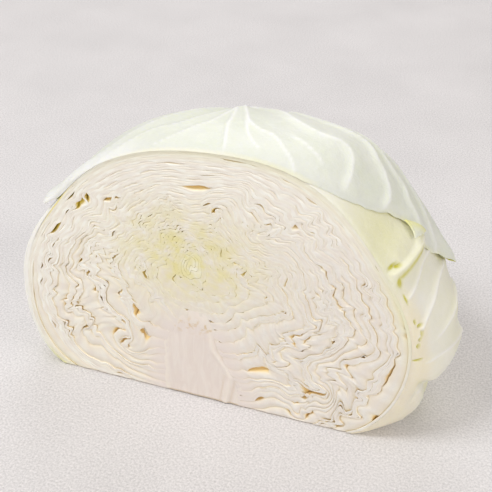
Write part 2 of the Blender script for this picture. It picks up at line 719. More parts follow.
def headLeafRows(leaf):
    turns = leafTurns(leaf)
    inner, outer = 2 * leaf, 2 * leaf + 1
    midSize = float(np.mean((layerSize(inner, turns, 0) + layerSize(outer, turns, 0)) / 2))
    scale = min(1, head["depth"] * midSize / leafSettings["fullDepth"])
    rows = []

    def wall(depth, row, share):
        at = turns[::share]
        size = layerSize(row, at, depth)
        point = headPoint(at, diveAt(depth, size), size)
        rows.append(("wall", crumple(point), np.full(len(at), depth), at, size))

    def deep(way, row, share):
        at = turns[::share]
        size = layerSize(row, at, leafSettings["openDepth"])
        first = diveAt(leafSettings["deepStart"] * scale, size)
        dive = first + (90 - first) * way
        even = ease(dive, 45, 90)
        size = size * (1 - even) + size.mean() * even
        point = crumple(headPoint(at, dive, size))
        rows.append(("wall", point, point[:, 1], at, size))

    def pole(row):
        size = layerSize(row, turns, leafSettings["openDepth"]).mean(keepdims=True)
        point = headPoint(np.zeros(1), 90.0, size)
        rows.append(("wall", point, point[:, 1], np.zeros(1), size))

    pole(inner)
    for way in leafSettings["deepWays"][::-1]:
        deep(way, inner, 8)
    for depth, share in leafSettings["wallSteps"][::-1]:
        wall(depth * scale, inner, share)
    low, high = layerSize(inner, turns, 0), layerSize(outer, turns, 0)
    thick = (high - low) * faceRadius(turns)
    clear = stemClear(crumple(headPoint(turns, 0.0, (low + high) / 2)))
    big = ease(thick, *leafSettings["bigLeaf"])
    dome = thick * leafSettings["roundShare"] * ease(thick, *leafSettings["domedLeaf"])
    dome = dome * (0.2 + 0.8 * clear)
    dome = np.minimum(dome, leafSettings["roundMost"]) * scale
    sunk = 0.12 * leafWave(leaf, turns, 30, 9) * scale * (0.3 + 0.7 * clear) + 0.06 * (1 - clear)
    seams = [np.maximum(seamWave(seam, turns), 0.8 * big * (seam < leafTotal - 1))
             for seam in (leaf - 1, leaf)]
    for share, drop, seam in leafSettings["cutProfile"]:
        size = low + (high - low) * share
        depth = (sunk + dome * drop * seams[seam]) * (1 - share * (leaf == leafTotal - 1))
        point = crumple(headPoint(turns, diveAt(depth, size), size))
        rows.append(("cut", point, drop * seams[seam] * (0.1 + 0.9 * dome), turns, size))
    for depth, share in leafSettings["wallSteps"]:
        wall(depth * scale, outer, share)
    for way in leafSettings["deepWays"]:
        deep(way, outer, 8)
    pole(outer)
    return rows


tintPlaces = {
    "heart": (-6, 88, 1.35, 24),  # x, z, how much wider than high, reach
    "left": (-70, 100, 1, 22),
    "rimYellow": (148, 9),  # turn, span
    "cutInside": 0.42,
    "greenFrom": (0.90, 1.0),
    "greenEdge": 0.1,
    "greenTop": (0.4, 80, 42),  # amount, turn, span
    "greenRight": (0.6, 13, 15),
    "greenLeft": (0.5, 222, 12),
}


def reachOf(point, x, z, wide, reach):
    return bell(np.hypot((point[:, 0] - x) / wide, point[:, 2] - z), reach)


def leafMasks(leaf, rows, s):
    masks = []
    for kind, point, depth, turn, size in rows:
        inside = np.clip(depth, 0, 1) * (s["cutInside"] if kind == "cut" else 1)
        heart = reachOf(point, *s["heart"])
        if kind == "wall":
            heart = np.maximum(heart, reachOf(point, *s["left"]))
        if kind == "cut" and leaf == leafTotal - 1:
            yellow = nearTurn(turn, *s["rimYellow"]) * ease(size, 0.985, 1.0)
            inside, heart = np.maximum(inside, 0.8 * yellow), np.maximum(heart, yellow)
        edge = s["greenEdge"] + lobe(turn, *s["greenTop"]) + lobe(turn, *s["greenRight"])
        green = ease(size, *s["greenFrom"]) * (edge + lobe(turn, *s["greenLeft"]))
        stemward = (1 - stemClear(point, 16)) * bell(np.maximum(point[:, 2] - 40, 0), 14)
        masks.append(np.column_stack([inside, heart, green, stemward]))
    return np.vstack(masks)


def leafTone(leaf, rows):
    # skin at the seams, a lighter and darker run along the leaf, and the leaf's own shade
    tone = []
    for row, (kind, point, _, turn, _) in enumerate(rows):
        skin = abs(row - (len(rows) - 1) / 2) / 2 if kind == "cut" else 1
        run = leafWave(leaf, turn, 70, 9)
        own = 0.75 * (leaf % 2) + 0.25 * chance(leaf, 90) + 0 * run
        white = np.maximum(ease(-point[:, 0], 0, 60), 0.8 * ease(point[:, 2], 96, 130))
        tone.append(np.column_stack([min(skin, 1) ** 2 * leafWave(leaf, turn, 80, 21), run, own, white]))
    return np.vstack(tone)


fleshLook = {
    "shadowed": (221, 215, 207), "lit": (251, 249, 245), "white": (250, 249, 242),
    "stripe": (234, 225, 208), "shade": (232, 222, 212), "skin": (251, 248, 236),
    "yellow": (232, 223, 158), "rim": (238, 236, 196), "joined": (236, 226, 219),
    "hollow": (250, 225, 168), "hollowGreen": (244, 230, 110),
    "mottle": (230.0, 5.0), "hearty": (120.0, 4.0), "heartRange": (0.36, 0.62, 0.15),
    "stripes": 0.5, "runRange": (0.3, 0.7, 0.0, 0.55),
    "grain": (900.0, 3.0), "grainBump": (0.25, 0.0002), "roughness": 0.5, "shine": 0.3,
}


def leafFlesh(s):
    material, tree, shader = newMaterial("leafFlesh")
    place = objectPlace(tree)
    inside, heart, rimward, stemward = painted(tree, "masks")
    skin, run, own, white = painted(tree, "tone")
    hearty = remap(tree, noise(tree, place, *s["hearty"], Roughness=0.6), *s["heartRange"])
    hollow = mixColour(tree, heart, tint(*s["hollow"]), tint(*s["hollowGreen"]))
    mottle = noise(tree, place, *s["mottle"], Roughness=0.7)
    colour = layered(tree, mixColour(tree, mottle, tint(*s["shadowed"]), tint(*s["lit"])), s, {
        "white": white, "stripe": multiply(tree, own, s["stripes"]),
        "shade": remap(tree, run, *s["runRange"]), "skin": skin,
        "yellow": multiply(tree, hearty, heart), "rim": rimward, "joined": stemward,
    })
    grain = bumped(tree, noise(tree, place, *s["grain"]), *s["grainBump"])
    setUp(tree, shader, Base_Color=mixColour(tree, inside, colour, hollow), Normal=grain,
          Roughness=s["roughness"], Specular_IOR_Level=s["shine"])
    return material


fleshMaterial = leafFlesh(fleshLook)


def addHead():
    total = 0
    for leaf in range(leafTotal):
        band = leaf // leafSettings["perBand"] + 1
        rows = headLeafRows(leaf)
        points, triangles = rowsBody([row[1] for row in rows])
        masks = leafMasks(leaf, rows, tintPlaces)
        node = f"head_leaf_{band:02d}"
        tone = leafTone(leaf, rows)
        makePiece(f"leaf_{leaf + 1:02d}", points, triangles, masks, fleshMaterial, [node], tone=tone)
        total += len(triangles)
    print("head leaves", total)


addHead()

# The bud in the heart of the head.
budSettings = {
    "columns": 96,
    "yellow": 0.85,
    "leaves": [(0.0462, 0.0697), (0.0282, 0.0459), (0.0, 0.0279)],  # from size, to size
}


def budSize(size, turns):
    # round outside, crumpled further in
    within = 1 - size / budSettings["leaves"][0][1]
    wave = 0.3 * sine(turns * 2 + 40) + 0.14 * sine(turns * 3 + 200 * within)
    return size * (1 + within * wave)


def addBud(s):
    bodies, masks = [], []
    turns = np.arange(s["columns"]) * 360 / s["columns"]
    for i, (low, high) in enumerate(s["leaves"]):
        inner, edge = budSize(low, turns), budSize(high, turns)
        rows = []
        for dive in (60, 30, 10):
            if low > 0:
                rows.append(headPoint(turns, dive, inner))
        for share, drop in ((0.05, 0.02), (0.3, 0.0), (0.7, 0.0), (0.95, 0.02)):
            size = inner + (edge - inner) * share
            rows.append(headPoint(turns, diveAt(0.05 * (i % 2) + drop, size), size))
        for dive in (10, 30, 60):
            rows.append(headPoint(turns, dive, edge))
        first = headPoint(np.zeros(1), 90.0, np.full(1, low)) if low > 0 else rows[0].mean(0, keepdims=True)
        last = headPoint(np.zeros(1), 90.0, np.full(1, high))
        rows = [crumple(row) for row in [first, *rows, last]]
        points, triangles = rowsBody(rows, ring=True)
        bodies.append((points, triangles))
        none = 0 * points[:, 0]
        masks.append(np.column_stack([np.clip(points[:, 1] / 4, 0, 1), s["yellow"] + none, none, none]))
    starts = np.cumsum([0] + [len(points) for points, _ in bodies])
    points = np.vstack([points for points, _ in bodies])
    triangles = np.vstack([triangles + start for (_, triangles), start in zip(bodies, starts)])
    masks = np.vstack(masks)
    makePiece("heart_leaves", points, triangles, masks, fleshMaterial, ["heart_bud"])
    print("heart")


addBud(budSettings)


# The stem.
stemLook = {
    "rows": 64,
    "frontColumns": 64,
    "backColumns": 32,
    "fibre": 0.05,
    "ridge": ([0, 5, 18, 25, 34, 42, 50], [12, 13, 15, 12, 6, 5, 3]),  # z and x of a raised ridge
    "ridgeHeight": 0.5,
    "ridgeEnd": (38, 50),
    # waves of the two sides: how far, how fast, phase
    "leftWaves": [(0.35, 0.55, 0), (0.25, 1.3, 1)],
    "rightWaves": [(0.6, 0.42, 2)],
    "rightWavesEnd": 48,
    "roundedEdge": 0.04,
    "spotPlace": (49, 5.0),  # height, reach
    "darkFoot": 0.85,
    "flesh": (234, 223, 215),
    "fibreTint": (239, 230, 222),
    "spot": (214, 186, 136),
    "foot": (206, 184, 148),
    "ivory": (243, 234, 223),
    "stretch": (330.0, 330.0, 60.0),
    "fibreRange": (0.38, 0.68),
    "spotRange": (0.5, 0.68),
    "fibreBump": (0.35, 0.0003),
    "roughness": 0.45,
    "shine": 0.35,
}


def stemFlesh(s):
    material, tree, shader = newMaterial("stemFlesh")
    place = objectPlace(tree)
    stretch = addNode(tree, "Mapping", Vector=place, Scale=s["stretch"])
    fibre = noise(tree, stretch.outputs[0], 1.0, 3.0, Distortion=1.3)
    soft, spots, foot, _ = painted(tree, "masks")
    spotty = multiply(tree, remap(tree, noise(tree, place, 420.0, 2.0), *s["spotRange"]), spots)
    colour = mixColour(tree, remap(tree, fibre, *s["fibreRange"]), tint(*s["flesh"]), tint(*s["fibreTint"]))
    colour = layered(tree, colour, s, {"spot": spotty, "foot": foot, "ivory": soft})
    setUp(tree, shader, Base_Color=colour, Normal=bumped(tree, fibre, *s["fibreBump"]),
          Roughness=s["roughness"], Specular_IOR_Level=s["shine"], Subsurface_Weight=0.15,
          Subsurface_Radius=(1.0, 0.75, 0.5), Subsurface_Scale=0.002)
    return material


def sideWave(z, waves):
    return sum(far * math.sin(z * fast + phase) for far, fast, phase in waves)


def addStem(s):
    tip, tipX = stemSettings["tip"]
    rows, masks = [], []
    rows.append(np.array([[0, 10, 0.0]]))
    masks.append(np.array([[0, 0, 1, 0.0]]))
    front = np.linspace(1, 0, s["frontColumns"])
    back = np.linspace(0, 180, s["backColumns"] + 1)[1:-1]
    for i in range(s["rows"]):
        z = (tip - 0.4) * (i / (s["rows"] - 1)) ** 0.9
        left, right = stemSides(z)
        left = left + sideWave(z, s["leftWaves"])
        right = right + sideWave(z, s["rightWaves"]) * (z < s["rightWavesEnd"])
        middle, radius = (left + right) / 2, (right - left) / 2
        x = left + (right - left) * front
        edge = np.minimum(front, 1 - front) * (right - left)
        y = s["roundedEdge"] * np.clip(1 - edge, 0, 1) ** 2
        y = y + s["fibre"] * (1 + np.sin(x * 2.1 + 0.5 * np.sin(z * 0.2)) * np.sin(x * 0.83 + 1.1)) / 2
        y = y + 0.08 * (1 + np.sin(x * 0.45 + z * 0.06))
        aside = x - np.interp(z, *s["ridge"])
        ridged = fall(z, *s["ridgeEnd"])
        y = y - s["ridgeHeight"] * ridged * (bell(aside, 1.5) - 0.6 * bell(aside - 2.6, 1.5))
        face = np.column_stack([x, y, np.full(len(x), z)])
        angle = np.radians(180 - back)
        around = middle + radius * np.cos(angle)
        rest = np.column_stack([around, radius * np.sin(angle), np.full(len(angle), z)])
        rows.append(np.vstack([face, rest]))
        soft = np.concatenate([fall(edge, 0.2, 3.5), np.ones(len(rest))])
        soft = np.maximum(soft, ease(z, 46, 54)) * 0.9
        soft[:len(x)] = np.maximum(soft[:len(x)], 0.8 * ridged * bell(aside, 1.4))
        spotHeight, spotReach = s["spotPlace"]
        spots = np.full(len(soft), bell(z - spotHeight, spotReach))
        base = np.full(len(soft), s["darkFoot"] * (i == 0))
        lines = bell(x - np.interp(z, [0, 20], [9, 12]), 0.4) * (z < 20)
        lines = lines + bell(x + 22 + 0.2 * z, 0.5) * (z < 12)
        base[:len(x)] = np.maximum(base[:len(x)], 0.35 * lines + 0.3 * ridged * bell(aside - 2.4, 0.7))
        masks.append(np.column_stack([soft, spots, base, 0 * soft]))
    rows.append(np.array([[tipX, 0.3, tip]]))
    masks.append(np.array([[1, 0, 0, 0.0]]))
    points, triangles = rowsBody(rows, ring=True)
    points[:, 2] += footLift(points[:, 1], points[:, 2], footEdge)
    masks = np.vstack(masks)
    makePiece("cut_stem", points, triangles, masks, stemFlesh(s), ["stem"], trim=False)
    print("stem")


addStem(stemLook)


# Outer leaves.
def leafMap(points):
    # across and up, in degrees from the middle of the back, to turn and dive
    across, up = np.array(points, float).T
    return np.degrees(np.arctan2(up, across)), 90 - np.hypot(across, up)


def smoothPath(points, step=0.12):
    # a smooth curve through hand-placed points
    points = np.array(points, float)
    padded = np.vstack([2 * points[0] - points[1], points, 2 * points[-1] - points[-2]])
    t = np.arange(0, 1, step)[:, None]
    parts = []
    for p0, p1, p2, p3 in zip(padded, padded[1:], padded[2:], padded[3:]):
        parts.append(0.5 * (2 * p1 + (p2 - p0) * t + (2 * p0 - 5 * p1 + 4 * p2 - p3) * t**2
                            + (3 * (p1 - p2) + p3 - p0) * t**3))
    return np.vstack(parts + [points[-1:]])


def lineDistance(points, path):
    # distance from each point to the path, how far along it the nearest place is, and which side
    best = np.full(len(points), 1e9)
    along = np.zeros(len(points))
    side = np.zeros(len(points))
    for i, (a, b) in enumerate(zip(path[:-1], path[1:])):
        run = b - a
        t = np.clip((points - a) @ run / max(run @ run, 1e-9), 0, 1)
        off = points - a - t[:, None] * run
        far = np.linalg.norm(off, axis=1)
        nearer = far < best
        best = np.where(nearer, far, best)
        along = np.where(nearer, (i + t) / (len(path) - 1), along)
        across = np.cross(run, a - np.array([0, 30.0, head["middle"][1]]))
        side = np.where(nearer, off @ (across / max(np.linalg.norm(across), 1e-9)), side)
    return best, along, side


veinForm = {
    "steep": 0.45,  # share of the crest width on the outer side
    "gentle": 1.35,
    "line": (0.5, 0.32),  # width of the vein itself, what tapers and what stays
    "aboutVein": 22,  # mm round a vein that are worked out
}


def veinRelief(points, veins):
    # crest height and vein mask of a set of veins, each crest steeper on its outer side
    height = np.zeros(len(points))
    mask = np.zeros(len(points))
    for path, crest, spread, vein, taper in veins:
        turn, dive = leafMap(smoothPath(path))
        line = headPoint(turn, dive, 1.0, 2.0)
        reach = np.abs(line - line.mean(0)).max() + veinForm["aboutVein"]
        near = np.nonzero(np.abs(points - line.mean(0)).max(1) < reach)[0]
        if not len(near):
            continue
        far, along, side = lineDistance(points[near], line)
        slim = 1 - taper * along
        ends = ease(along, -0.08, 0.06) * fall(along, 0.9, 1.02)
        width = spread * slim * np.where(side > 0, veinForm["steep"], veinForm["gentle"])
        height[near] += crest * slim * ends * bell(far, width)
        ridge = ends * bell(far, veinForm["line"][0] * slim + veinForm["line"][1])
        height[near] += vein * slim * ridge
        mask[near] = np.maximum(mask[near], ridge * (0.4 + 0.6 * slim) * min(3 * vein, 1))
    return height, mask


topLeaf = {
    "margin": [
        (-90, 62), (-60, 60), (-40, 56), (-20, 52), (-4, 50), (4, 46), (8.5, 41), (10.2, 34), (11.3, 28.5),
        (12.6, 25.4), (14.4, 23), (18, 19.5), (21, 16.8), (24.5, 14.8), (27.5, 14), (30, 14.8),
        (32.5, 14.2), (34.5, 12.8), (37.5, 10.8), (40.5, 8.4), (43.5, 6.4), (46, 4.8), (49, 3.4), (52, 2.3),
        (55, 1.4), (58, 0.6), (60, 0), (150.5, 0), (152, 4), (156, 10), (163, 16), (175, 26), (190, 38),
        (215, 50), (240, 59), (270, 62),
    ],
    "columns": 640,
    "rows": 84,
    "thickness": 1.0,
    "thinning": (0.5, 0.7, 0.84, 0.93),  # ways after which every second column goes
    "midrib": (88.0, 20.0, 2.4, 6.0),  # turn, dive of its end, height, width
    "ruffle": 1.8,
    "crestShare": 0.62,
    # less or more at a turn: amount, turn, span
    "tornEdge": (0.6, 14, 5),
    "leftEdge": (2.4, 143, 13),
    "bedding": (0.97, -90, 9.0),
    "cutFade": (0.6, 70, 14),
    "leftWhite": 0.9,
    "whiteFrom": (104, 124),
    # turn and span of two green places on the margin
    "greenTear": (28, 8),
    "greenEdge": (68, 16),
    # path on the leaf map, crest height, crest width, vein height, taper
    "veins": [
        ([(1, 58), (6, 66), (10.1, 71.8), (15.8, 74.3), (23, 75.1), (29.7, 77.5), (35, 78.6), (41, 80)],
         1.0, 4.0, 0.5, 0.3),
        ([(2, 52), (12.4, 56.1), (19.8, 60.9), (30.9, 63.4), (39.2, 59.2), (43.7, 59.1), (47.7, 61.1),
          (51.3, 63.3), (54, 66)], 2.0, 6.0, 0.5, 0.3),
        ([(27.9, 70.7), (36.7, 70.5), (40.5, 70.1), (43.1, 70.3)], 0.3, 3.0, 0.3, 0.3),
        ([(2, 44), (16, 50), (31.4, 50.3), (39, 48.2), (45.7, 49), (49.2, 48.4), (54.3, 48), (59, 48.7),
          (62, 51)], 1.9, 5.5, 0.45, 0.3),
        ([(2, 36), (18, 42), (34, 45), (43, 44.1), (48.3, 42.7), (52, 39.9), (56.9, 39.1), (60.5, 37.1),
          (66, 34)], 1.5, 5.0, 0.4, 0.3),
        ([(-1, 57.5), (3.1, 71.4), (4, 75.9), (7.2, 82.2), (10.8, 88.3)], 0.7, 3.5, 0.35, 0.3),
        ([(1.5, 58.5), (10.4, 73.8), (17, 80.2), (23.7, 82.7)], 0.5, 3.0, 0.35, 0.4),
        ([(1, 60), (-2.6, 73.5), (-8.2, 78.1), (-16.1, 82.9), (-23.5, 84.8)], 0.5, 3.0, 0.3, 0.4),
        ([(1, 60), (-6, 68), (-15.8, 74.3), (-24.6, 74.4), (-33, 75.8), (-42.2, 76.1), (-53.5, 72.3)],
         1.3, 4.5, 0.4, 0.3),
        ([(1, 46), (-14, 60), (-30, 68), (-46, 70), (-62, 62), (-72, 54)], 1.3, 6.0, 0.4, 0.4),
        ([(1, 32), (-18, 46), (-36, 54), (-54, 52), (-70, 42)], 1.4, 6.0, 0.4, 0.4),
        ([(1, 18), (-20, 32), (-40, 38), (-58, 34), (-72, 24)], 1.4, 6.0, 0.4, 0.4),
        ([(1, 4), (-20, 16), (-40, 20), (-60, 12)], 1.3, 5.5, 0.4, 0.5),
        ([(1, -10), (-18, -3), (-34, -2), (-50, -12)], 1.1, 5.0, 0.4, 0.5),
        ([(1, 26), (22, 34), (42, 36), (60, 30), (74, 20)], 1.4, 6.0, 0.4, 0.4),
        ([(1, 12), (22, 20), (42, 21), (62, 12)], 1.3, 5.5, 0.4, 0.5),
        ([(1, -6), (22, 3), (40, 3), (56, -6)], 1.2, 5.0, 0.4, 0.5),
    ],
}
# a side leaf goes from turn to turn, with finer columns where its edge is torn, and ends at a dive
rightLeaf = {
    "from": -89.6, "to": 74.0, "fine": (-6.0, 30.0), "dive": 62.0, "columns": 430, "rows": 88,
    "thickness": 1.0, "fade": 26.0, "crowding": 1.7,
    "veins": [
        ([(66, 33.4), (69.7, 34), (73.6, 35.1), (77.2, 36.8), (79.4, 37.9), (81, 38.6)],
         2.6, 3.4, 0.06, 0.2),
        ([(60, 22), (70.9, 28.7), (75.9, 28.4), (80.1, 26.8), (84.6, 25.9)], 0.8, 3.5, 0.45, 0.3),
        ([(56, 14), (66, 18.6), (73.9, 19.8), (80.2, 17), (85.4, 13.5), (88.8, 9)], 1.0, 4.0, 0.5, 0.3),
        ([(40, -6), (56, 4), (66, 9), (76, 8), (84, 3)], 1.0, 4.5, 0.4, 0.3),
        ([(40, -14), (56, -10), (70.5, -5.5), (82, -3.5), (88, -4)], 1.0, 4.5, 0.4, 0.3),
        ([(34, -30), (54, -28), (70, -25), (82, -23)], 1.2, 5.0, 0.4, 0.3),
        ([(34, -44), (50, -44), (64, -42), (76, -38)], 1.2, 6.0, 0.35, 0.3),
    ],
    # turn, dive, spans, depth of small hollows by the rim
    "pits": [
        (27.4, 2.2, 0.6, 1.2, 1.8), (26.6, 3.3, 0.5, 0.8, 1.4), (22.6, 1.8, 1.5, 0.85, 2.6),
        (17.6, 1.4, 1.6, 0.3, 0.9), (10.6, 1.3, 0.8, 0.3, 1.0), (9.0, 2.2, 0.45, 0.7, 1.2),
        (6.6, 2.0, 1.0, 0.45, 2.0), (5.2, 1.5, 0.6, 0.4, 1.4), (3.4, 0.9, 0.7, 0.4, 1.4),
        (-1.0, 0.8, 0.35, 0.9, 1.2),
    ],
    "thicker": [],
}
leftLeaf = {
    "from": 146.0, "to": 269.6, "fine": (190.0, 230.0), "dive": 63.0, "columns": 176, "rows": 58,
    "thickness": 1.0, "fade": 12.0, "crowding": 1.7,
    "veins": [
        ([(-38, 4), (-56, 10), (-72, 10), (-86, 8)], 1.2, 6.0, 0.35, 0.3),
        ([(-38, -10), (-56, -10), (-72, -12), (-86, -14)], 1.3, 6.0, 0.35, 0.3),
        ([(-36, -26), (-52, -30), (-66, -34), (-80, -38)], 1.1, 6.0, 0.35, 0.3),
    ],
    "pits": [],
    # turn, span, how much, dive where it ends
    "thicker": [(176, 20, 2.0, 16), (208, 22, 1.5, 14)],
}


def rounded(dive, reach):
    # 0 on the cut face, and over in a round curve to 1
    return np.sqrt(np.clip(1 - (1 - np.clip(dive / reach, 0, 1)) ** 2, 0, 1))


def layOn(dive):
    # flush on the cut face, a little air behind it
    return 0.06 * ease(dive, 0.6, 3)


def creaseGap(turn, dive):
    # degrees from the crease below the right leaf's middle lobe
    return turnGap(turn, -8 - 0.75 * np.minimum(dive, 14))


# lobes of the right leaf: height, turn and span
rightForm = {
    "upper": (6.4, 3, 11),
    "middle": (9.2, -8, 8.5),
    "lower": (9.2, -25, 9.5),
    "under": (8.0, -38, 12),
    "pocket": (2.2, 27.5, 5),
    "creaseDepth": 3.6,
}


def rightStand(turn, dive):
    # three lobes that swell out from the cut face, with a crease between the middle and lower ones
    s = rightForm
    upper = lobe(turn, *s["upper"]) * (0.35 * rounded(dive, 5) + 0.65 * ease(dive, 2, 14))
    upper = upper * fall(dive, 14, 34)
    middle = lobe(turn, *s["middle"]) * rounded(dive, 13) * fall(dive, 20, 40)
    lower = lobe(turn, *s["lower"]) * (0.75 * rounded(dive, 10) + 0.25 * ease(dive, 0, 10))
    lower = lower * fall(dive, 16, 40)
    under = lobe(turn, *s["under"]) * ease(dive, 1, 16) * fall(dive, 40, 64)
    lobes = (upper**3 + middle**3 + lower**3 + under**3) ** (1 / 3)
    across = creaseGap(turn, dive)
    crease = s["creaseDepth"] * bell(across, np.where(across > 0, 1.3, 3.4))
    crease = crease * ease(dive, 0.2, 4) * fall(dive, 18, 30)
    pocket = lobe(turn, *s["pocket"]) * ease(dive, 0.5, 5) * fall(dive, 10, 22)
    return layOn(dive) + np.maximum(lobes - crease + pocket, 0) * fall(turn, 48, 66)


# swellings of the left leaf, the same way
leftForm = {
    "flap": (1.0, 184, 6),
    "low": (3.5, 206, 14),
    "lifted": (0.2, 160, 8),
}


def leftStand(turn, dive):
    s = leftForm
    flap = lobe(turn, *s["flap"]) * fall(dive, 6, 16) * ease(dive, 0, 3)
    low = lobe(turn, *s["low"]) * ease(dive, 0, 8) * fall(dive, 30, 54)
    lifted = lobe(turn, *s["lifted"]) * fall(dive, 0.3, 1.0)
    return layOn(dive) + (flap + low + lifted) * ease(turn, 148, 156)


# how the top leaf stands off
topForm = {
    "overLeft": 1.2,
    "leftGap": 0.05,
    "leftTip": (3.2, 153, 6),  # height, turn, span
    "rightTip": (4.2, 13.5, 6, 23, 7),  # height, turn, span, dive, reach
    "swells": [(2.0, 98, 58, 36, 18), (1.3, 140, 18, 28, 14), (1.0, 55, 16, 30, 14)],
    "pleats": 0.4,
}


def topStand(turn, dive):
    # the leaf rides over the two side leaves and lifts off at both ends
    s = topForm
    overRight = fall(np.abs(turnGap(turn, -13)), 86, 91)
    overLeft = fall(np.abs(turnGap(turn, 215)), 58, 72)
    above = 0.02 + 0.2 * fall(turn, 74, 76) + 0.8 * ease(74 - turn, 0, 26)
    right = (rightStand(turn, dive) + above) * overRight * fall(dive, 72, 86)
    left = (leftStand(turn, dive) + s["overLeft"]) * overLeft * fall(dive, 66, 80)
    leftGap = s["leftGap"] * ease(turn, 126, 138) * fall(turn, 158, 170) * fall(dive, 0.3, 1.0)
    leftTip = lobe(turn, *s["leftTip"]) * fall(dive, 4, 26)
    rightTip = patch(turn, dive, *s["rightTip"])
    pleats = s["pleats"] * (1 + sine(turn * 12 + dive * 7)) * ease(dive, 3, 16)
    swell = sum(patch(turn, dive, *place) for place in s["swells"])
    lift = leftGap + leftTip + rightTip + swell + pleats * fall(dive, 60, 80)
    return layOn(dive) + np.maximum(right, left) + lift


def midribHeight(turn, dive, s):
    middle, crown, height, width = s["midrib"]
    aside = head["radii"][3] * domeShare(turn, dive) * sine(turn - middle)
    fade = np.where(sine(turn) > 0, ease(dive, crown, crown + 30), 1)
    return height * bell(aside, width) * fade


skinLook = {
    "net": 420.0,
    "netRange": (0.0, 0.09, 0.14, 0.0),
    "netBump": (0.25, 0.0004),
    "cloud": (45.0, 4.0),
    "pucker": (150.0, 4.0),
    "puckerBump": (0.35, 0.0016),
    "roughness": 0.42,
    "shine": 0.35,
}


def leafSkin(name, s):
    s = {**skinLook, **s}
    material, tree, shader = newMaterial(name)
    place = objectPlace(tree)
    vein, green, deep, cream = painted(tree, "masks")
    net = addNode(tree, "TexVoronoi", feature="DISTANCE_TO_EDGE", Vector=place, Scale=s["net"])
    netLine = remap(tree, net.outputs["Distance"], *s["netRange"])
    colour = mixColour(tree, noise(tree, place, *s["cloud"]), tint(*s["lamina"]), tint(*s["laminaPale"]))
    colour = layered(tree, colour, s, {"shade": green, "cream": cream, "deep": deep})
    for share in (netLine, vein):
        colour = mixColour(tree, share, colour, tint(*s["vein"]))
    pucker = bumped(tree, noise(tree, place, *s["pucker"], Roughness=0.55), *s["puckerBump"])
    setUp(tree, shader, Base_Color=colour, Normal=bumped(tree, netLine, *s["netBump"], Normal=pucker),
          Roughness=s["roughness"], Specular_IOR_Level=s["shine"], Subsurface_Weight=0.15,
          Subsurface_Radius=(1.0, 1.0, 0.45), Subsurface_Scale=0.002)
    through = addNode(tree, "BsdfTranslucent", Color=mixColour(tree, 0.5, colour, tint(*s["glow"])))
    both = addNode(tree, "MixShader", Fac=s["thinness"])
    plug(tree, shader.outputs[0], both.inputs[1])
    plug(tree, through.outputs[0], both.inputs[2])
    plug(tree, both.outputs[0], tree.nodes["Material Output"].inputs["Surface"])
    return material


def skinMasks(vein, green, deep=0, cream=0):
    return np.column_stack([vein, green, deep + 0 * vein, cream + 0 * vein])


def addTopLeaf(s):
    margin = np.array(s["margin"], float)
    ways = np.linspace(0, 1, s["rows"]) ** 0.95
    outer, outerMask, inner, innerMask = [], [], [], []
    for way in ways[:-1]:
        share = 2 ** sum(bool(way >= limit) for limit in s["thinning"])
        turn = np.arange(0, s["columns"], share) * 360 / s["columns"] - 90
        edge = np.interp(turn, margin[:, 0], margin[:, 1])
        torn = ease(edge, 1, 8)
        wave = s["ruffle"] * sine(turn * 14) * ease(edge, 24, 36)
        small = 0.3 * sine(turn * 41) + 0.2 * sine(turn * 97 + 40)
        wave = wave + torn * small
        dive = edge + wave + (90 - edge - wave) * way
        base = headPoint(turn, dive, 1.0, 2.0)
        crest, vein = veinRelief(base, s["veins"])
        stand = topStand(turn, dive)
        crest = s["crestShare"] * crest
        midrib = midribHeight(turn, dive, s)
        thin = s["thickness"] * (0.35 + 0.65 * ease(way, 0, 0.05))
        thin = thin * (1 - lobe(turn, *s["tornEdge"]) * fall(way, 0, 0.12))
        thin = thin + lobe(turn, *s["leftEdge"]) * fall(dive, 3, 14)
        outer.append(headPoint(turn, dive, 1.0, stand + thin + crest + midrib))
        bedded = 1 - lobe(turn, *s["bedding"]) * fall(dive, 78, 88)
        inner.append(headPoint(turn, dive, 1.0, (stand + 0.35 * crest * ease(way, 0, 0.1)) * bedded))
        vein = np.maximum(vein, ease(midrib, 0.3, 1.6))
        green = 0.4 * fall(way, 0, 0.02) * torn * nearTurn(turn, *s["greenTear"])
        cut = fall(dive, 0.2, 1.2) * (1 - lobe(turn, *s["cutFade"]))
        edging = 0.3 * fall(dive, 0.1, 1.5) * nearTurn(turn, *s["greenEdge"])
        white = s["leftWhite"] * ease(turn, *s["whiteFrom"]) * fall(dive, 1, 8)
        outerMask.append(skinMasks(np.maximum(vein, white), green + edging, 0, cut))
        innerMask.append(skinMasks(white * fall(dive, 1, 3), np.maximum(green, 0.9), 0, cut))
    stand = topStand(0.0, 90.0)
    crest = s["midrib"][2]
    rows = [headPoint(np.zeros(1), 90.0, 1.0, stand)] + inner[::-1]
    masks = [skinMasks(np.zeros(1), np.full(1, 0.6))] + innerMask[::-1]
    lip = (outer[0] + inner[0]) / 2 + (outer[0] - outer[1]) * 0.25
    rows += [lip] + outer + [headPoint(np.zeros(1), 90.0, 1.0, stand + s["thickness"] + crest)]
    masks += [outerMask[0]] + outerMask + [skinMasks(np.ones(1), np.zeros(1))]
    points, triangles = rowsBody(rows, ring=True)
    masks = np.vstack(masks)
    nodes = ["outer_leaf_top"]
    makePiece("wrapper_leaf_top", points, triangles, masks, paleSkin, nodes)
    print("top leaf", len(triangles))


